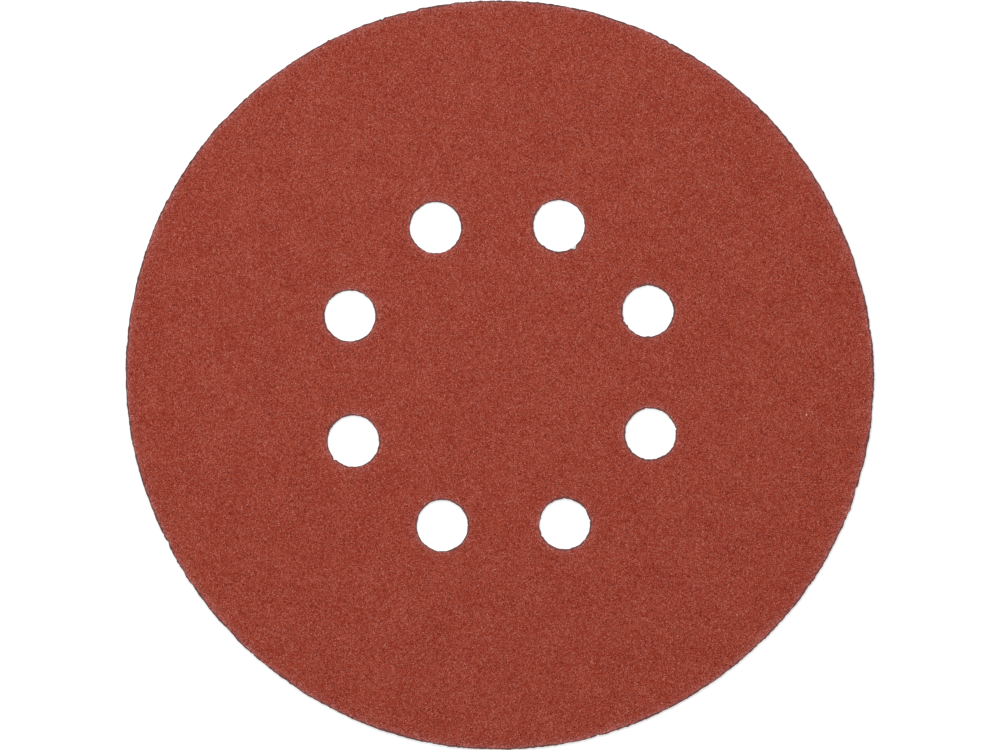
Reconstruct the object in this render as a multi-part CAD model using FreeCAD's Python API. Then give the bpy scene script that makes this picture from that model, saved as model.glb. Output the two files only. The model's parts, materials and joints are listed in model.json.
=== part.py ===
import FreeCAD, Part
import math
import os

from FreeCAD import Vector

# A sanding disc that sticks to a sander's pad by its back: bonded grain on a
# paper sheet, laminated to a loop cloth and cut through all layers by one die.
# The disc lies grain side up on its loops. The origin is the centre of its
# underside, +Z points out of the grain, and the cloth's wales run along X.

# Driving dimensions in millimetres, angles in degrees

disc_diameter = 150.0

# Layers, from the grain down
coat_thickness = 0.30
paper_thickness = 0.20
ground_thickness = 0.45
pile_height = 0.55

# Ring of dust holes, set so that the X and Y axes pass midway between holes
hole_count = 8
hole_diameter = 10.3
hole_circle_diameter = 65.0
first_hole_angle = 22.5

# Along each cut the grain breaks away and leaves a line of bare paper
bare_edge = 0.15

# The die presses the coat down beside each cut: how far in and how deep
bevel_width = 0.40
bevel_drop = 0.12

# Wales of the loop pile: ribs with a tapering furrow between each two
wale_pitch = 1.40
furrow_mouth = 0.50
furrow_floor = 0.24
furrow_depth = 0.45

# How far a cutting tool runs past the faces that it cuts
overrun = 1.0

# Levels and radii worked out from the sizes above

rim_radius = disc_diameter / 2
hole_radius = hole_diameter / 2
hole_circle_radius = hole_circle_diameter / 2

coat_rim_radius = rim_radius - bare_edge
coat_hole_radius = hole_radius + bare_edge

cloth_bottom = 0.0
cloth_top = cloth_bottom + pile_height + ground_thickness
paper_top = cloth_top + paper_thickness
coat_top = paper_top + coat_thickness


def hole_centres():
    """Centres of the dust holes in the XY plane."""
    step = 2 * math.pi / hole_count
    start = math.radians(first_hole_angle)
    for index in range(hole_count):
        angle = start + index * step
        yield hole_circle_radius * math.cos(angle), hole_circle_radius * math.sin(angle)


def filled_outline(points):
    """The plane face inside a closed outline through the points."""
    return Part.Face(Part.makePolygon(points + points[:1]))


def turned(profile):
    """A solid turned about Z from a profile of (radius, height) points."""
    face = filled_outline([Vector(radius, 0, height) for radius, height in profile])
    return face.revolve(Vector(0, 0, 0), Vector(0, 0, 1), 360)


def plain_disc(bottom, top):
    """A disc of the full diameter between two levels."""
    return Part.makeCylinder(rim_radius, top - bottom, Vector(0, 0, bottom))


def bevelled_disc(bottom, top):
    """The disc of the coat, level on top and pressed down along its rim."""
    return turned(
        [
            (0, bottom),
            (coat_rim_radius, bottom),
            (coat_rim_radius, top - bevel_drop),
            (coat_rim_radius - bevel_width, top),
            (0, top),
        ]
    )


def plain_punch(bottom, top):
    """A straight punch through the levels given."""
    height = top - bottom + 2 * overrun
    return Part.makeCylinder(hole_radius, height, Vector(0, 0, bottom - overrun))


def bevelled_punch(bottom, top):
    """A punch for the coat, which also takes off what is pressed down round a hole."""
    return turned(
        [
            (0, bottom - overrun),
            (coat_hole_radius, bottom - overrun),
            (coat_hole_radius, top - bevel_drop),
            (coat_hole_radius + bevel_width, top),
            (coat_hole_radius + bevel_width, top + overrun),
            (0, top + overrun),
        ]
    )


def punched(blank, punch):
    """The blank with the punch driven through it at each dust hole."""
    punches = []
    for x, y in hole_centres():
        placed = punch.copy()
        placed.translate(Vector(x, y, 0))
        punches.append(placed)
    return blank.cut(punches)


def furrow(y):
    """The space between two wales, right across the disc, centred on y."""
    length = disc_diameter + 2 * overrun
    taper = (furrow_mouth - furrow_floor) / 2 / furrow_depth
    mouth = furrow_mouth / 2 + taper * overrun
    floor = furrow_floor / 2
    low = cloth_bottom - overrun
    high = cloth_bottom + furrow_depth
    section = [(y - mouth, low), (y + mouth, low), (y + floor, high), (y - floor, high)]
    points = [Vector(-length / 2, across, height) for across, height in section]
    return filled_outline(points).extrude(Vector(length, 0, 0))


def furrows():
    """All furrows, in pairs about the wale on the X axis, as far as the rim holds them."""
    made = []
    y = wale_pitch / 2
    while y + furrow_mouth / 2 < rim_radius:
        made += [furrow(y), furrow(-y)]
        y += wale_pitch
    return made


def grain_coat():
    """Grain and resin: its top face is the level of the grain's tips."""
    blank = bevelled_disc(paper_top, coat_top)
    return punched(blank, bevelled_punch(paper_top, coat_top))


def paper_sheet():
    """The sheet that carries the grain."""
    return punched(plain_disc(cloth_top, paper_top), plain_punch(cloth_top, paper_top))


def cloth_with_loops():
    """Knitted ground under the paper, with the loop pile standing in wales below."""
    blank = plain_disc(cloth_bottom, cloth_top)
    return punched(blank, plain_punch(cloth_bottom, cloth_top)).cut(furrows())


def only_solid(shape):
    """The one solid that a layer consists of."""
    (solid,) = shape.Solids
    return solid


os.makedirs("parts", exist_ok=True)
for layer in (grain_coat, paper_sheet, cloth_with_loops):
    solid = only_solid(layer())
    solid.exportStep(f"parts/{layer.__name__}.step")
    print(f"{layer.__name__}: {solid.Volume:.1f} mm3, valid {solid.isValid()}")
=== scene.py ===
import json
import math

import bpy
import numpy as np
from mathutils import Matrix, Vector
from mathutils.geometry import delaunay_2d_cdt


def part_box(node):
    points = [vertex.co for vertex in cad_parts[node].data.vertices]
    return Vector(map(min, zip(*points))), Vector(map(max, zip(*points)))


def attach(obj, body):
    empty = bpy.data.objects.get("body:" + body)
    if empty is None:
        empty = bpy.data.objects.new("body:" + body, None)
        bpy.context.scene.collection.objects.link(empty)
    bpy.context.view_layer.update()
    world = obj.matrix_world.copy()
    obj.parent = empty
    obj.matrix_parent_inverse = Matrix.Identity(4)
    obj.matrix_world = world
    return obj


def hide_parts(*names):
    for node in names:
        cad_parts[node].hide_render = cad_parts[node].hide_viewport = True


# A hook and loop sanding disc that lies grain side up on a white floor. Each
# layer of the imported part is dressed: the grain coat by broken grains in resin,
# the paper by its rough cut edge, and the loop cloth by wales with loops.
# Lengths are in millimetres and angles in degrees until a mesh is made. The
# studio at the end is in metres.

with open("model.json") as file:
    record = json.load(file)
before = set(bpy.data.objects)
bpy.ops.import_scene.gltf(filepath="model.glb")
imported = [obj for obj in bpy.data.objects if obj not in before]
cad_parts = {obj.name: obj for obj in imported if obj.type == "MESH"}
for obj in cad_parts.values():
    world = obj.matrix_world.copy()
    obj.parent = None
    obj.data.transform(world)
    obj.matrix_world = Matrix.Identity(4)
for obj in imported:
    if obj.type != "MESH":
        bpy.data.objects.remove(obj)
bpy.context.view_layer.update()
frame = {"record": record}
record = frame["record"]

seed = 150
random = np.random.default_rng(seed)

MM = 0.001

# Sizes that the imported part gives

mounts = {mount["name"]: mount for mount in record["mounts"]}
openings = {opening["name"]: opening for opening in record["physics"]["openings"]}
ring = mounts["dust_holes"]["dims"]
ring_radius = ring["pcd_mm"] / 2
hole_radius = ring["hole_r_mm"]
hole_count = ring["count"]
first_box = np.array(openings["dust_hole_1"]["box_m"])
first_hole_angle = math.degrees(math.atan2(first_box[:, 1].sum(), first_box[:, 0].sum()))
disc_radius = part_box("paper_sheet")[1].x / MM
cloth_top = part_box("cloth_with_loops")[1].z / MM
paper_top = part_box("paper_sheet")[1].z / MM
coat_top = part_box("grain_coat")[1].z / MM

# The die's cut. The rim isn't quite round, and it sits a little off the ring of
# holes: each wave is (waves round the rim, height, phase).
rim_offset = (-0.15, 0.16)
rim_waves = (
    (2, 0.245, -104.7),
    (3, 0.072, 8.5),
    (4, 0.126, -60.2),
    (5, 0.042, -80.7),
    (10, 0.042, 36.3),
)
# Nicks and tufts: (angle, how far the edge stands out, width along the edge)
rim_nicks = (
    (6.0, -0.30, 0.4), (37.7, -0.25, 0.5), (53.5, 0.22, 0.4), (61.7, -0.26, 0.4),
    (103.0, 0.22, 0.4), (107.1, -0.27, 0.5), (114.4, -0.25, 0.6), (115.9, 0.30, 0.6),
    (131.0, -0.24, 0.5), (204.3, -0.24, 0.6), (205.7, -0.26, 1.2), (284.1, -0.28, 0.6),
    (337.9, 0.20, 0.4), (341.2, -0.25, 0.5),
)
# By hole, counted from 0 in the order of their angles
hole_nicks = {
    0: ((199.8, -0.2, 0.4), (213.8, 0.18, 0.4)),
    1: ((126.8, -0.2, 0.5), (233.8, 0.23, 0.5), (303.8, -0.52, 0.9)),
    3: ((142.8, -0.2, 0.4),),
    4: ((221.8, -0.33, 0.5),),
    6: ((6.8, -0.23, 0.5), (89.8, -0.2, 0.4), (204.8, -0.2, 0.4)),
    7: ((10.9, -0.27, 0.4), (97.8, -0.24, 0.5), (330.9, -0.2, 0.4)),
}
# How far each hole sits off its place in the ring, and how much wider it is
hole_shifts = (
    (-0.127, -0.137, -0.01), (-0.049, -0.232, 0.03),
    (0.063, -0.084, 0.02), (0.149, 0.136, -0.01),
    (0.305, -0.128, 0.03), (0.215, 0.150, 0.02),
    (-0.080, -0.030, -0.06), (-0.127, 0.093, -0.02),
)
# The white floor's glare eats into the edge of the rim and of the holes by about
# this much, so the material reaches that much further.
glare = 0.035
# How blunt the nicks are: 1 comes to a point, 4 has a flat floor. At this share
# of its width from its middle, a nick has faded to about a third.
rim_blunt = 1.6
hole_blunt = 4
nick_fade = 0.42
# The cut's small lumps and its slower waver, which a hole has less of
edge_roughness = 0.06
edge_lump = 0.5
edge_waver = 0.04
edge_waver_length = 1.8
hole_waver_share = 0.6

# How much of the paleness beside a cut the rim and a hole have, and how far it
# reaches in
rim_worn = 1.0
hole_worn = 0.65
worn_reach = 0.45


def between(values, angles):
    """Reads values that stand evenly round a circle at these angles in radians."""
    place = angles / (2 * math.pi) * len(values)
    low = np.floor(place).astype(int)
    share = place - low
    share = share * share * (3 - 2 * share)
    return values[low % len(values)] * (1 - share) + values[(low + 1) % len(values)] * share


class Cut:
    """One closed cut of the die: the rim, or a hole."""

    # How far a point of the outline may stand off its even place, in steps
    jitter = 0.2

    def __init__(self, centre, radius, inward, worn, blunt, waves=(), nicks=()):
        self.centre = np.array(centre, float)
        self.radius = radius
        self.inward = inward
        self.worn = worn
        self.blunt = blunt
        self.waves = waves
        self.nicks = nicks
        share = 1 if inward < 0 else hole_waver_share
        self.waver = random.normal(0, share * edge_waver, self.steps(edge_waver_length))

    def steps(self, length):
        """How many steps of this length go round the cut."""
        return int(2 * math.pi * self.radius / length)

    def edge(self, angles):
        """The cut's radius at these angles in radians, without its roughness."""
        radius = self.radius + between(self.waver, angles)
        for count, height, phase in self.waves:
            radius += height * np.cos(count * angles - math.radians(phase))
        for at, out, width in self.nicks:
            turn = (angles - math.radians(at) + math.pi) % (2 * math.pi) - math.pi
            along = np.abs(turn) * self.radius / (nick_fade * width)
            radius -= self.inward * out * np.exp(-along**self.blunt)
        return radius

    def inside(self, points):
        """How far points lie inside the material, from this cut."""
        away = points - self.centre
        angles = np.arctan2(away[:, 1], away[:, 0])
        return self.inward * (np.hypot(away[:, 0], away[:, 1]) - self.edge(angles))

    def outward(self, points):
        """Unit directions that point out of the material, from this cut."""
        away = points - self.centre
        length = np.maximum(np.hypot(away[:, 0], away[:, 1]), 1e-9)
        return -self.inward * away / length[:, None]

    def lumps(self, angles, length):
        """Lumps of this length along the cut, of unit height."""
        return between(random.normal(0, 1, self.steps(length)), angles)

    def outline(self, setback, spacing, rough, wavy=0.0):
        """Points along the cut, set back into the material."""
        count = self.steps(spacing)
        moved = np.arange(count) + random.uniform(-self.jitter, self.jitter, count)
        angles = 2 * math.pi * moved / count
        radius = self.edge(angles) + self.inward * setback
        radius += rough * self.lumps(angles, edge_lump) + wavy * self.lumps(angles, setback_wave)
        return self.centre + radius[:, None] * np.c_[np.cos(angles), np.sin(angles)]


def make_cuts():
    """The rim first, then the holes in the order of their angles."""
    rim = Cut(rim_offset, disc_radius + glare, -1, rim_worn, rim_blunt, rim_waves, rim_nicks)
    cuts = [rim]
    for index, (shift_x, shift_y, wider) in enumerate(hole_shifts):
        angle = math.radians(first_hole_angle + index * 360 / hole_count)
        x = ring_radius * math.cos(angle) + shift_x
        y = ring_radius * math.sin(angle) + shift_y
        radius = hole_radius + wider - glare
        nicks = hole_nicks.get(index, ())
        cuts.append(Cut((x, y), radius, 1, hole_worn, hole_blunt, nicks=nicks))
    return cuts


cuts = make_cuts()


def depth_inside(points):
    """How far points lie inside the material, from the nearest cut."""
    return np.min([cut.inside(points) for cut in cuts], axis=0)


def outward(points):
    """The direction out of the material, at the nearest cut."""
    nearest = np.argmin([cut.inside(points) for cut in cuts], axis=0)
    ways = np.stack([cut.outward(points) for cut in cuts])
    return ways[nearest, np.arange(len(points))]


# Making meshes: how far a lattice runs past the rim, the height of a row of even
# triangles for a side of 1, and how near two points may come before they are one
lattice_overrun = 1
triangle_row = 0.866
same_point = 1e-6
# Rings of points beside a cut: their spacing as a share of the cut's, their
# roughness, and how many steps the lattice keeps clear of the last ring
ring_spacing = 1.2
ring_roughness = 0.02
ring_clearance = 0.6
# The border round a map as wide as the disc
disc_map_border = 2.5


def lattice(step_x, step_y, stagger, jitter):
    """Points over the disc in rows along X, each moved by a share of its step."""
    reach = disc_radius + lattice_overrun
    rows = np.arange(-reach, reach, step_y)
    columns = np.arange(-reach, reach, step_x)
    x, y = np.meshgrid(columns, rows)
    x = x + (stagger * step_x / 2) * (np.arange(len(rows)) % 2)[:, None]
    moved = random.uniform(-jitter, jitter, (2, *x.shape))
    return np.c_[(x + moved[0] * step_x).ravel(), (y + moved[1] * step_y).ravel()]


def turn_of(a, b, c):
    """Twice the area of triangles seen from above, positive where they turn left."""
    return (b[:, 0] - a[:, 0]) * (c[:, 1] - a[:, 1]) - (b[:, 1] - a[:, 1]) * (c[:, 0] - a[:, 0])


def trimmed_sheet(inner, setback, rings, spacing, rough, wavy=0.0):
    """Triangles over the inner points, trimmed by the cuts, with rings of points beside them."""
    outlines = [cut.outline(setback, spacing, rough, wavy) for cut in cuts]
    starts = np.cumsum([0] + [len(outline) for outline in outlines])
    edges = []
    for start, end in zip(starts[:-1], starts[1:]):
        ids = np.arange(start, end)
        edges += list(zip(ids.tolist(), np.roll(ids, -1).tolist()))
    beside = [
        cut.outline(setback + ring, spacing * ring_spacing, ring_roughness)
        for ring in rings
        for cut in cuts
    ]
    clear = setback + max(rings) + ring_clearance * spacing
    points = np.vstack(outlines + beside + [inner[depth_inside(inner) > clear]])
    vectors = [Vector(point) for point in points.tolist()]
    inside_only = 1
    made = delaunay_2d_cdt(vectors, edges, [], inside_only, same_point)
    flat = np.array([vertex[:] for vertex in made[0]])
    faces = np.array(made[2])
    source = np.array([ids[0] if ids else -1 for ids in made[3]])
    # A triangle between three points of one hole is in the hole if it turns left
    # in their order.
    order = np.sort(source[faces], axis=1)
    a, b, c = (points[order[:, n]] for n in range(3))
    same = np.digitize(order[:, 0], starts) == np.digitize(order[:, 2], starts)
    of_hole = same & (order[:, 0] >= starts[1]) & (order[:, 2] < starts[-1])
    faces = faces[~(of_hole & (turn_of(a, b, c) > 0))]
    a, b, c = (flat[faces[:, n]] for n in range(3))
    backward = turn_of(a, b, c) < 0
    faces[backward] = faces[backward][:, ::-1]
    return flat, faces


def border(faces, count):
    """The directed edges that only one triangle has."""
    edges = np.vstack([faces[:, [0, 1]], faces[:, [1, 2]], faces[:, [2, 0]]])
    forward = edges[:, 0] * count + edges[:, 1]
    backward = edges[:, 1] * count + edges[:, 0]
    return edges[~np.isin(forward, backward)]


def add_walls(flat, height, faces, levels):
    """Walls below a sheet's borders, through levels of (height, how far out, roughness)."""
    edges = border(faces, len(flat))
    ids = np.unique(edges)
    place = np.full(len(flat), -1)
    place[ids] = np.arange(len(ids))
    a, b = place[edges[:, 0]], place[edges[:, 1]]
    at, out, top = flat[ids], outward(flat[ids]), height[ids]
    points, heights, unfolded, walls = [flat], [height], [flat], [faces]
    upper, total = ids, len(flat)
    for level, reach, rough in levels:
        push = reach + rough * random.normal(0, 1, len(ids))
        points.append(at + out * push[:, None])
        heights.append(np.full(len(ids), float(level)))
        unfolded.append(at + out * (top - level)[:, None])
        lower = np.arange(total, total + len(ids))
        walls.append(np.c_[upper[b], upper[a], lower[a]])
        walls.append(np.c_[upper[b], lower[a], lower[b]])
        upper = lower
        total += len(ids)
    return np.vstack(points), np.hstack(heights), np.vstack(unfolded), np.vstack(walls)


def build_mesh(name, vertices, faces, corners, values=None, smooth=False):
    """An object from arrays in millimetres, with its map, its values and its shading."""
    mesh = bpy.data.meshes.new(name)
    mesh.vertices.add(len(vertices))
    mesh.vertices.foreach_set("co", (vertices * MM).astype(np.float32).ravel())
    mesh.loops.add(faces.size)
    mesh.loops.foreach_set("vertex_index", faces.astype(np.int32).ravel())
    mesh.polygons.add(len(faces))
    mesh.polygons.foreach_set("loop_start", np.arange(0, faces.size, 3, dtype=np.int32))
    mesh.update(calc_edges=True)
    mesh.polygons.foreach_set("use_smooth", np.full(len(faces), smooth))
    layer = mesh.uv_layers.new(name="OFBake")
    layer.data.foreach_set("uv", corners.astype(np.float32).ravel())
    for key, array in (values or {}).items():
        attribute = mesh.attributes.new(key, "FLOAT", "POINT")
        attribute.data.foreach_set("value", array.astype(np.float32))
    piece = bpy.data.objects.new(name, mesh)
    bpy.context.scene.collection.objects.link(piece)
    return piece


def disc_map(unfolded, faces):
    """Map corners for a piece as wide as the disc."""
    span = 2 * (disc_radius + disc_map_border)
    return 0.5 + unfolded[faces.ravel()] / span


def settle(piece, material, node):
    """Gives a piece its material and ties it to the frame."""
    piece.data.materials.append(material)
    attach(piece, "root")
    if node:
        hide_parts(node)


class Nodes:
    """A short way to write a material's nodes. Sizes and distances are in millimetres."""

    def __init__(self, name):
        self.material = bpy.data.materials.new(name)
        self.material.use_nodes = True
        self.tree = self.material.node_tree
        self.shader = self.tree.nodes["Principled BSDF"]

    def add(self, kind, inputs=(), **settings):
        """A node with its settings, then its inputs: values, or outputs of other nodes."""
        node = self.tree.nodes.new(kind)
        for key, value in settings.items():
            setattr(node, key, value)
        for key, value in dict(inputs).items():
            self.put(node.inputs[key], value)
        return node

    def put(self, socket, value):
        if isinstance(value, bpy.types.NodeSocket):
            self.tree.links.new(value, socket)
        else:
            socket.default_value = value

    def shade(self, **inputs):
        """Puts values on the shader's inputs, such as Base_Color."""
        for key, value in inputs.items():
            self.put(self.shader.inputs[key.replace("_", " ")], value)

    def math(self, operation, a, b):
        return self.add("ShaderNodeMath", {0: a, 1: b}, operation=operation).outputs[0]

    def weighed(self, first, *others):
        """The sum of terms of (value, weight)."""
        total = self.math("MULTIPLY", *first)
        for value, weight in others:
            total = self.math("ADD", total, self.math("MULTIPLY", value, weight))
        return total

    def attribute(self, name):
        return self.add("ShaderNodeAttribute", attribute_name=name).outputs["Fac"]

    def place(self):
        return self.add("ShaderNodeTexCoord").outputs["Object"]

    def stretched(self, place, x, y, z):
        stretch = {0: place, 1: (x, y, z)}
        return self.add("ShaderNodeVectorMath", stretch, operation="MULTIPLY").outputs[0]

    def cells(self, place, size):
        """A texture of cells of this size."""
        return self.add("ShaderNodeTexVoronoi", {"Vector": place, "Scale": 1 / (size * MM)})

    def noise(self, place, size, detail=2):
        """A noise texture of lumps of this size."""
        inputs = {"Vector": place, "Scale": 1 / (size * MM), "Detail": detail}
        return self.add("ShaderNodeTexNoise", inputs).outputs[0]

    def ramp(self, value, low, high, at_low=0, at_high=1):
        ends = {"From Min": low, "From Max": high, "To Min": at_low, "To Max": at_high}
        return self.add("ShaderNodeMapRange", {"Value": value, **ends}).outputs[0]

    def evened(self, noise, at_low=0, at_high=1):
        """A noise with its usual range, from 0.3 to 0.7, stretched over these values."""
        return self.ramp(noise, 0.3, 0.7, at_low, at_high)

    def mix(self, share, a, b):
        inputs = {"Factor": share, "A": a, "B": b}
        return self.add("ShaderNodeMix", inputs, data_type="RGBA").outputs["Result"]

    def scale_of(self, share, stops):
        """A colour from a scale of (position, colour)."""
        node = self.add("ShaderNodeValToRGB", {"Fac": share})
        scale = node.color_ramp.elements
        while len(scale) < len(stops):
            scale.new(0.5)
        for element, (position, colour) in zip(scale, stops):
            element.position = position
            element.color = colour
        return node.outputs["Color"]

    def bump(self, height, distance, strength):
        inputs = {"Height": height, "Distance": distance * MM, "Strength": strength}
        return self.add("ShaderNodeBump", inputs).outputs[0]


# The coat: broken back from the cut, with slow waves, and pressed down beside it
coat_setback = 0.30
setback_waves = 0.07
setback_wave = 2.5
bevel_width = 0.45
bevel_drop = 0.12
bevel_curve = 1.5
# The resin between the grains: how far below their tips, its points, its relief
# and its spread of tones
resin_depth = 0.11
base_spacing = 0.75
base_jitter = 0.22
base_rings = (0.16, 0.36, 0.66)
base_edge_spacing = 0.34
base_relief = 0.016
base_tones = 0.7
# Its walls: (height above the paper, how far out, roughness)
base_walls = ((0.09, 0.02, 0.02), (-0.01, 0.05, 0.02))

# Grains that stand out of the resin: crooked pyramids with these sides, each
# with a radius, a height of its tip and a lean as a share of its radius
grain_spacing = 0.30
grain_jitter = 0.4
grain_clearance = 0.02
grain_sides = 3
grain_radius = (0.10, 0.18)
grain_height = (0.04, 0.12)
grain_root = 0.05
grain_lean = 0.6
corner_turn = 0.22
corner_reach = (0.75, 1.25)
# Tones spread by 1 about 0. A few grains are much paler, as pale grains with painted glints on
# them, and a few much darker: their share of the grains, and how much their tones differ
pale_and_glint_share = 0.008
pale_and_glint_tones = (4, 18)
dark_share = 0.010
dark_tones = (10, 25)
# The brightest grain that the photo shows, a pale grain with a painted glint: its place, its
# size, how much room the others leave it, and its tone
bright_glint_grain = (61.27, -9.06)
bright_radius = 0.38
bright_room = 0.32
bright_glint_tone = 25

# The strips that the coat is made of, each with a square map as wide as half a
# strip is long: its right half lies above its left half. The first strip's map
# leaves room for what reaches past the CAD's rim.
strip_count = 5
map_span = 78.5
map_margin = 0.4
map_border = 1
strip_overhang = 0.6

# The grain's colours, which partly paint the shade and glints of the grains' facets: the size of
# the finest grains and of the slow mottling, what these and a grain's own tone add, and the end
# of the scale
fine_grain = 0.12
fine_weight = 6.4
tone_weight = 0.18
mottle_size = 6
mottle_weight = 0.8
scale_end = 6
# Tones of the grain, from dark resin to a pale broken face. The spread along it is partly
# painted facet shade, and its whitish pale end is partly painted glints
grain_and_glint_scale = (
    (0.0, (0.070, 0.001, 0.001, 1)),
    (0.167, (0.152, 0.0015, 0.001, 1)),
    (0.4, (0.271, 0.0200, 0.0062, 1)),
    (0.633, (0.388, 0.072, 0.038, 1)),
    (0.833, (0.479, 0.138, 0.102, 1)),
    (1.0, (0.565, 0.205, 0.164, 1)),
)
# The same scale, with the same painted facet shade and glints, for grains that the cut broke and
# paled
worn_scale = (
    (0.0, (0.110, 0.006, 0.004, 1)),
    (0.167, (0.180, 0.024, 0.018, 1)),
    (0.5, (0.385, 0.108, 0.093, 1)),
    (0.833, (0.665, 0.279, 0.254, 1)),
    (1.0, (0.830, 0.390, 0.360, 1)),
)
# The colour of the palest grains, which also paints glints on them, and the tones over which it
# comes in
pale_and_glint_colour = (0.80, 0.45, 0.36, 1)
pale_and_glint_range = (4, 13)


def grain_material():
    """Grains in resin: a tone per grain, finer ones between, paler where the cut broke them.
    Their colours partly paint the shade and glints of the facets, whitish at the pale end.
    """
    n = Nodes("grain_and_resin")
    place = n.place()
    fine = n.cells(place, fine_grain)
    chance = n.add("ShaderNodeSeparateColor", {"Color": fine.outputs["Color"]}).outputs
    # The cube leaves most of the finest grains near the middle and a few far off; the few far
    # off on the pale side are painted glints.
    off = n.ramp(chance[0], 0, 1, -1, 1)
    cube = n.math("MULTIPLY", off, n.math("MULTIPLY", off, off))
    tone = n.attribute("tone")
    mottle = n.math("SUBTRACT", n.noise(place, mottle_size, detail=0), 0.5)
    level = n.weighed((cube, fine_weight), (tone, tone_weight), (mottle, mottle_weight))
    share = n.ramp(level, -scale_end, scale_end)
    # The palest tones take a pale colour, which also paints glints on those grains
    colour = n.mix(n.ramp(tone, *pale_and_glint_range), n.scale_of(share, grain_and_glint_scale), pale_and_glint_colour)
    by_grain = n.ramp(chance[2], 0, 1, at_low=0.3, at_high=1.5)
    by_patch = n.evened(n.noise(place, 1.6), at_low=0.6, at_high=1.4)
    broken = n.math("MULTIPLY", n.attribute("wear"), n.math("MULTIPLY", by_grain, by_patch))
    broken = n.math("MINIMUM", broken, 1)
    n.shade(
        Base_Color=n.mix(broken, colour, n.scale_of(share, worn_scale)),
        Roughness=n.ramp(chance[1], 0, 1, at_low=0.45, at_high=0.8),
        Specular_IOR_Level=0.12,
        Normal=n.bump(fine.outputs["Distance"], distance=0.03, strength=0.6),
    )
    return n.material


def pressed_level(depth):
    """The resin's level beside a cut: pressed down along it, level further in."""
    share = np.clip(1 - (depth - coat_setback) / bevel_width, 0, 1)
    return coat_top - resin_depth - bevel_drop * share**bevel_curve


def wear(points):
    """How far the grains are broken and paled beside a cut, from 0 to 1."""
    depths = [cut.inside(points) - coat_setback for cut in cuts]
    shares = [cut.worn * np.exp(-depth / worn_reach) for cut, depth in zip(cuts, depths)]
    return np.clip(np.max(shares, axis=0), 0, 1)


def coat_base():
    """The resin with its small grains, with broken walls down to the paper."""
    inner = lattice(base_spacing, base_spacing * triangle_row, 1, base_jitter)
    flat, faces = trimmed_sheet(
        inner, coat_setback, base_rings, base_edge_spacing, edge_roughness, setback_waves
    )
    height = pressed_level(depth_inside(flat)) + random.normal(0, base_relief, len(flat))
    height = np.minimum(height, coat_top)
    levels = [(paper_top + above, out, rough) for above, out, rough in base_walls]
    points, heights, unfolded, faces = add_walls(flat, height, faces, levels)
    tone = random.normal(0, base_tones, len(points))
    return np.c_[points, heights], unfolded, faces, tone, wear(points)


def grains():
    """Broken grains that stand out of the resin, each with a tone of its own."""
    places = lattice(grain_spacing, grain_spacing * triangle_row, 1, grain_jitter)
    places = places[depth_inside(places) > coat_setback + grain_clearance]
    places = places[np.hypot(*(places - bright_glint_grain).T) > bright_room]
    places = np.vstack([places, bright_glint_grain])
    count = len(places)
    size = random.uniform(*grain_radius, count)
    size[-1] = bright_radius
    start = random.uniform(0, 2 * math.pi, count)
    moved = random.uniform(-corner_turn, corner_turn, (count, grain_sides))
    corners = start[:, None] + 2 * math.pi / grain_sides * (np.arange(grain_sides) + moved)
    reach = size[:, None] * random.uniform(*corner_reach, (count, grain_sides))
    x = places[:, :1] + reach * np.cos(corners)
    y = places[:, 1:] + reach * np.sin(corners)
    lean = size * random.uniform(0, grain_lean, count)
    turn = random.uniform(0, 2 * math.pi, count)
    level = pressed_level(depth_inside(places))
    tip = np.minimum(level + random.uniform(*grain_height, count), coat_top)
    tip[-1] = coat_top
    apex = np.c_[places[:, 0] + lean * np.cos(turn), places[:, 1] + lean * np.sin(turn), tip]
    roots = np.stack([x, y, np.repeat((level - grain_root)[:, None], grain_sides, 1)], 2)
    points = np.concatenate([roots, apex[:, None]], 1).reshape(-1, 3)
    corner_count = grain_sides + 1
    first = corner_count * np.arange(count)[:, None, None]
    sides = np.array([[n, (n + 1) % grain_sides, grain_sides] for n in range(grain_sides)])
    faces = (first + sides[None]).reshape(-1, 3)
    tone = random.normal(0, 1, count)
    # Much paler grains: pale grains with painted glints on them
    tone += random.uniform(*pale_and_glint_tones, count) * (random.uniform(0, 1, count) < pale_and_glint_share)
    tone -= random.uniform(*dark_tones, count) * (random.uniform(0, 1, count) < dark_share)
    tone[-1] = bright_glint_tone
    tone = np.repeat(tone, corner_count)
    worn = np.repeat(wear(places), corner_count)
    return points, points[:, :2], faces, tone, worn


def strip_corners(unfolded, faces, middle, low):
    """Map corners of a strip of the coat: its left half below its right half."""
    right = (middle[:, 0] >= 0)[:, None]
    x, y = unfolded[faces][:, :, 0], unfolded[faces][:, :, 1]
    u = np.where(right, x + map_border, x + map_span - map_border)
    v = y - low + map_margin + np.where(right, map_span / 2, 0)
    return np.stack([u, v], 2).reshape(-1, 2) / map_span


def make_coat():
    """The coat as strips, each small enough for a map that still shows single grains."""
    points, unfolded, faces, tone, worn = zip(coat_base(), grains())
    faces = np.vstack([faces[0], faces[1] + len(points[0])])
    points, unfolded = np.vstack(points), np.vstack(unfolded)
    tone, worn = np.hstack(tone), np.hstack(worn)
    middle = unfolded[faces].mean(1)
    height = 2 * disc_radius / strip_count
    strip = ((middle[:, 1] + disc_radius) / height).astype(int)
    strip = np.clip(strip, 0, strip_count - 1)
    material = grain_material()
    for index in range(strip_count):
        mine = faces[strip == index]
        used, local = np.unique(mine, return_inverse=True)
        low = -disc_radius + index * height - (strip_overhang if index == 0 else 0)
        corners = strip_corners(unfolded, mine, middle[strip == index], low)
        values = {"tone": tone[used], "wear": worn[used]}
        name = f"grain_strip_{index + 1}"
        piece = build_mesh(name, points[used], local.reshape(-1, 3), corners, values)
        settle(piece, material, "grain_coat")


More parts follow.
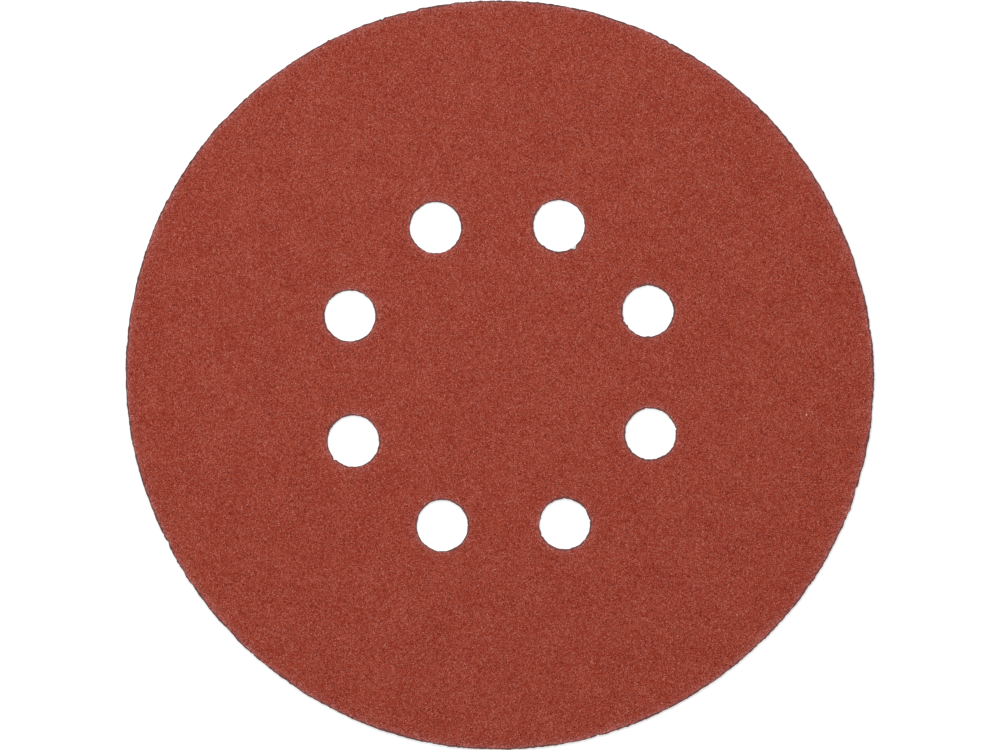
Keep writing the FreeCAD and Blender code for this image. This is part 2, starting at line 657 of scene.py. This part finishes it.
# The paper: the ring of points inside its edge, the spacing along it, and its
# roughness as a share of the die's. Walls: (how far out, roughness).
paper_rings = (0.5,)
paper_edge_spacing = 0.3
paper_rough_share = 0.8
paper_wall_middle = (0.01, 0.015)
paper_wall_foot = (0.0, 0.015)
paper_dark = (0.075, 0.027, 0.025, 1)
paper_light = (0.235, 0.09, 0.082, 1)


def paper_material():
    """Stiff, fibrous paper in dark tones, which shows as the dark line round each cut."""
    n = Nodes("paper_edge")
    place = n.place()
    lumps = n.noise(place, 0.4, detail=3)
    fibres = n.noise(n.stretched(place, x=1, y=1, z=9), 0.25, detail=3)
    share = n.evened(n.weighed((lumps, 0.6), (fibres, 0.4)))
    n.shade(
        Base_Color=n.mix(share, paper_dark, paper_light),
        Roughness=n.evened(fibres, at_low=0.75, at_high=0.95),
        Specular_IOR_Level=0.2,
        Normal=n.bump(fibres, distance=0.03, strength=0.5),
    )
    return n.material


def make_paper():
    """The paper sheet, with the fibres of its cut edge a little uneven."""
    rough = edge_roughness * paper_rough_share
    flat, faces = trimmed_sheet(np.zeros((0, 2)), 0, paper_rings, paper_edge_spacing, rough)
    height = np.full(len(flat), paper_top)
    middle = paper_top - (paper_top - cloth_top) / 2
    levels = ((middle, *paper_wall_middle), (cloth_top, *paper_wall_foot))
    points, heights, unfolded, faces = add_walls(flat, height, faces, levels)
    corners = disc_map(unfolded, faces)
    piece = build_mesh("paper_sheet_dressed", np.c_[points, heights], faces, corners)
    settle(piece, paper_material(), "paper_sheet")


# The loop cloth's knitted ground: its level between the wales, the wales below
# it, and how they waver along their length
cloth_setback = 0.06
ground_bottom = 0.52
wale_pitch = 1.40
wale_height = 0.34
wale_roundness = 0.8
wale_waver = 0.12
wale_waver_rate = 2.3
wale_waver_shift = 5
# Its points: along and across the wales, beside the cut and along it
wale_step = 1.9
wale_row = 0.35
wale_jitter = 0.04
cloth_rings = (0.35,)
cloth_edge_spacing = 0.35
# Its walls, from the wales up: (level, how far out, roughness)
cloth_walls = ((0.62, 0.02, 0.03), (0.8, 0.0, 0.02), (cloth_top, -0.01, 0.01))

# Loops of the pile: their spacing along a wale, how far each may stand off its
# place along and across the wale, and how far they keep from the cut
loop_spacing = 0.78
loop_jitter = 0.3
loop_scatter = 0.16
loop_clearance = 0.2
# A loop is a flat thread through this many points: its width, half its length,
# its lowest level, the spread of that, its foot in the ground, the spread of its
# lean, and how square its bend is
loop_steps = 6
loop_width = 0.075
loop_half = (0.28, 0.5)
loop_low = 0.02
loop_low_spread = 0.14
loop_foot = 0.2
loop_lean = 0.14
loop_bend = 2.4
# How far the loops turn from the wale, and the share that stands across it
loop_turn = 0.8
loop_across = 0.4
# A tuft of the pile that shows in the second hole's notch: its angles, and how
# far it stands from the hole's edge
tuft_angles = (300.5, 302.0, 303.8, 305.5, 307.0)
tuft_reach = 0.22

ground_dark = (0.46, 0.44, 0.41, 1)
ground_light = (0.74, 0.72, 0.68, 1)
pile_dark = (0.56, 0.54, 0.5, 1)
pile_light = (0.82, 0.8, 0.76, 1)


def cloth_material(name, dark, light):
    """Pale knitted polyester: stitches, fine threads along them and a soft sheen."""
    n = Nodes(name)
    place = n.place()
    threads = n.noise(n.stretched(place, x=1, y=5, z=5), 0.5, detail=4)
    lumps = n.noise(place, 1.6, detail=3)
    share = n.evened(n.weighed((threads, 0.6), (lumps, 0.4)))
    n.shade(
        Base_Color=n.mix(share, dark, light),
        Roughness=n.evened(threads, at_low=0.8, at_high=1.0),
        Specular_IOR_Level=0.2,
        Sheen_Weight=0.25,
        Normal=n.bump(threads, distance=0.06, strength=0.5),
    )
    return n.material


def wale_level(points):
    """The underside of the knitted ground: round wales, a little uneven along their length."""
    across = points[:, 1] / wale_pitch
    wale = np.round(across)
    ridge = np.cos(math.pi * (across - wale)) ** wale_roundness
    waver = np.sin(points[:, 0] * wale_waver_rate + wale_waver_shift * wale)
    return ground_bottom - wale_height * ridge * (1 + wale_waver * waver)


def make_cloth():
    """The cloth's ground, with its wales below and its cut wall round them."""
    inner = lattice(wale_step, wale_row, 0, wale_jitter)
    flat, faces = trimmed_sheet(
        inner, cloth_setback, cloth_rings, cloth_edge_spacing, edge_roughness
    )
    # Made upside down, so that the walls go down from the wales to the paper
    levels = [(-level, out, rough) for level, out, rough in cloth_walls]
    points, heights, unfolded, faces = add_walls(flat, -wale_level(flat), faces, levels)
    faces = faces[:, ::-1]
    corners = disc_map(unfolded, faces)
    piece = build_mesh("cloth_ground", np.c_[points, -heights], faces, corners)
    material = cloth_material("loop_cloth", ground_dark, ground_light)
    settle(piece, material, "cloth_with_loops")
    return piece


def loop_places():
    """Where the loops stand: along the wales, and the tuft in the second hole's notch."""
    last = math.floor(disc_radius / wale_pitch)
    columns = np.arange(-disc_radius, disc_radius, loop_spacing)
    x, wale = (grid.ravel() for grid in np.meshgrid(columns, np.arange(-last, last + 1)))
    x = x + random.uniform(-loop_jitter, loop_jitter, len(x)) * loop_spacing
    y = wale * wale_pitch + random.normal(0, loop_scatter, len(x))
    places = np.c_[x, y]
    turns = np.radians(tuft_angles)
    hole = cuts[2]
    tuft = hole.centre + (hole.radius + tuft_reach) * np.c_[np.cos(turns), np.sin(turns)]
    return np.vstack([places[depth_inside(places) > loop_clearance], tuft])


def make_loops():
    """Loops on the wales: flat threads that rise from the ground, bend over and go back."""
    middle = loop_places()
    count = len(middle)
    yaw = random.normal(0, loop_turn, count)
    yaw = yaw + math.pi / 2 * (random.uniform(0, 1, count) < loop_across)
    half = random.uniform(*loop_half, count)
    low = random.uniform(loop_low, loop_low + loop_low_spread, count)
    lean = random.normal(0, loop_lean, (count, 2))
    steps = np.linspace(-1, 1, loop_steps)
    along = np.stack([np.cos(yaw), np.sin(yaw)], 1)
    side = np.stack([-np.sin(yaw), np.cos(yaw)], 1)
    spread = np.sin(steps * math.pi / 2)
    rise = 1 - np.abs(steps) ** loop_bend
    centre = middle[:, None] + along[:, None] * (half[:, None] * spread)[:, :, None]
    centre = centre + lean[:, None] * rise[None, :, None]
    foot = ground_bottom - loop_foot
    z = foot + (low - foot)[:, None] * rise[None]
    tilt = random.uniform(-1, 1, count)[:, None] * (loop_width / 2)
    push = side[:, None] * (loop_width / 2)
    left = np.concatenate([centre - push, (z - tilt)[:, :, None]], 2)
    right = np.concatenate([centre + push, (z + tilt)[:, :, None]], 2)
    points = np.stack([left, right], 2).reshape(-1, 3)
    points[:, 2] = np.maximum(points[:, 2], 0)
    first = 2 * loop_steps * np.arange(count)[:, None, None]
    step = np.array([[0, 1, 3], [0, 3, 2]])
    thread = np.vstack([step + 2 * n for n in range(loop_steps - 1)])
    faces = (first + thread[None]).reshape(-1, 3)
    corners = disc_map(points[:, :2], faces)
    piece = build_mesh("cloth_loops", points, faces, corners, smooth=True)
    settle(piece, cloth_material("loop_pile", pile_dark, pile_light), None)
    return piece


# The studio, in metres: a white floor, an even sky, and a soft lamp that stands
# nearly overhead, a little to the upper left

floor_size = 6.0
floor_dark = (0.80, 0.80, 0.80, 1)
floor_light = (0.84, 0.84, 0.84, 1)
# How far from the middle the floor's glow begins and ends to grow, and the glow
glow_from, glow_to = 0.10, 0.40
glow_near, glow_far = 0.38, 0.65
sky_strength = 0.571
lamp_height = 0.42
lamp_offset = (-0.045, 0.095)
lamp_size = 0.25
lamp_power = 1.0
white = (1, 1, 1, 1)


def seen_directly(n):
    """1 for rays from the camera and for what metal and glass show of it."""
    path = n.add("ShaderNodeLightPath").outputs
    seen = n.math("ADD", path["Is Camera Ray"], path["Is Glossy Ray"])
    return n.math("MINIMUM", n.math("ADD", seen, path["Is Transmission Ray"]), 1)


def make_floor():
    """A white floor that keeps the shadow of what lies on it and stays white further off."""
    half = floor_size / 2
    mesh = bpy.data.meshes.new("floor")
    corners = [(-half, -half, 0), (half, -half, 0), (half, half, 0), (-half, half, 0)]
    mesh.from_pydata(corners, [], [(0, 1, 2, 3)])
    floor = bpy.data.objects.new("floor", mesh)
    bpy.context.scene.collection.objects.link(floor)
    n = Nodes("white_floor")
    place = n.place()
    grey = n.noise(place, 400)
    away = n.add("ShaderNodeVectorMath", {0: place}, operation="LENGTH").outputs["Value"]
    glow = n.ramp(away, glow_from, glow_to, glow_near, glow_far)
    n.shade(
        Base_Color=n.mix(grey, floor_dark, floor_light),
        Roughness=0.9,
        Specular_IOR_Level=0.0,
        Emission_Color=white,
        Emission_Strength=n.math("MULTIPLY", seen_directly(n), glow),
    )
    mesh.materials.append(n.material)
    return floor


def make_sky():
    """An even sky that shows white behind the floor."""
    world = bpy.data.worlds.new("studio")
    world.use_nodes = True
    tree = world.node_tree
    path = tree.nodes.new("ShaderNodeLightPath")
    strength = tree.nodes.new("ShaderNodeMapRange")
    strength.inputs["To Min"].default_value = sky_strength
    strength.inputs["To Max"].default_value = 1.0
    tree.links.new(path.outputs["Is Camera Ray"], strength.inputs["Value"])
    background = tree.nodes["Background"]
    background.inputs["Color"].default_value = white
    tree.links.new(strength.outputs[0], background.inputs["Strength"])
    bpy.context.scene.world = world


def make_lamp():
    """One soft lamp, which shades the grains and fades a little across the disc."""
    data = bpy.data.lights.new("soft_lamp", "AREA")
    data.shape = "SQUARE"
    data.size = lamp_size
    data.energy = lamp_power
    lamp = bpy.data.objects.new("soft_lamp", data)
    lamp.location = (*lamp_offset, lamp_height)
    lamp.rotation_euler = (-lamp.location).to_track_quat("-Z", "Y").to_euler()
    lamp.visible_camera = False
    bpy.context.scene.collection.objects.link(lamp)


# The camera looks straight down through a long lens, and is turned so that the
# ring of holes stands as the photograph shows it. Places in the picture, and the
# disc's radius there, are in picture elements. One is about 0.2 mm at the disc.

picture_width = 1000
picture_middle = (499.5, 374.5)
ring_middle = (499.65, 375.01)
disc_radius_seen = 373.93
element = disc_radius * MM / disc_radius_seen
sensor_width = 36.0
camera_height = 1.2
camera_roll = -1.155
view_depth = 20


def make_camera():
    """The photograph's camera, above the place that its middle shows."""
    scene = bpy.context.scene
    data = bpy.data.cameras.new("camera")
    data.sensor_width = sensor_width
    data.lens = sensor_width * camera_height / (picture_width * element)
    data.clip_end = view_depth
    camera = bpy.data.objects.new("camera", data)
    right = (picture_middle[0] - ring_middle[0]) * element
    up = -(picture_middle[1] - ring_middle[1]) * element
    roll = math.radians(camera_roll)
    x = right * math.cos(roll) - up * math.sin(roll)
    y = right * math.sin(roll) + up * math.cos(roll)
    camera.location = (x, y, camera_height + coat_top * MM)
    camera.rotation_euler = (0, 0, roll)
    scene.collection.objects.link(camera)
    scene.camera = camera
    scene.view_settings.view_transform = "Standard"


make_coat()
make_paper()
cloth = make_cloth()
loops = make_loops()
floor = make_floor()
make_sky()
make_lamp()
make_camera()
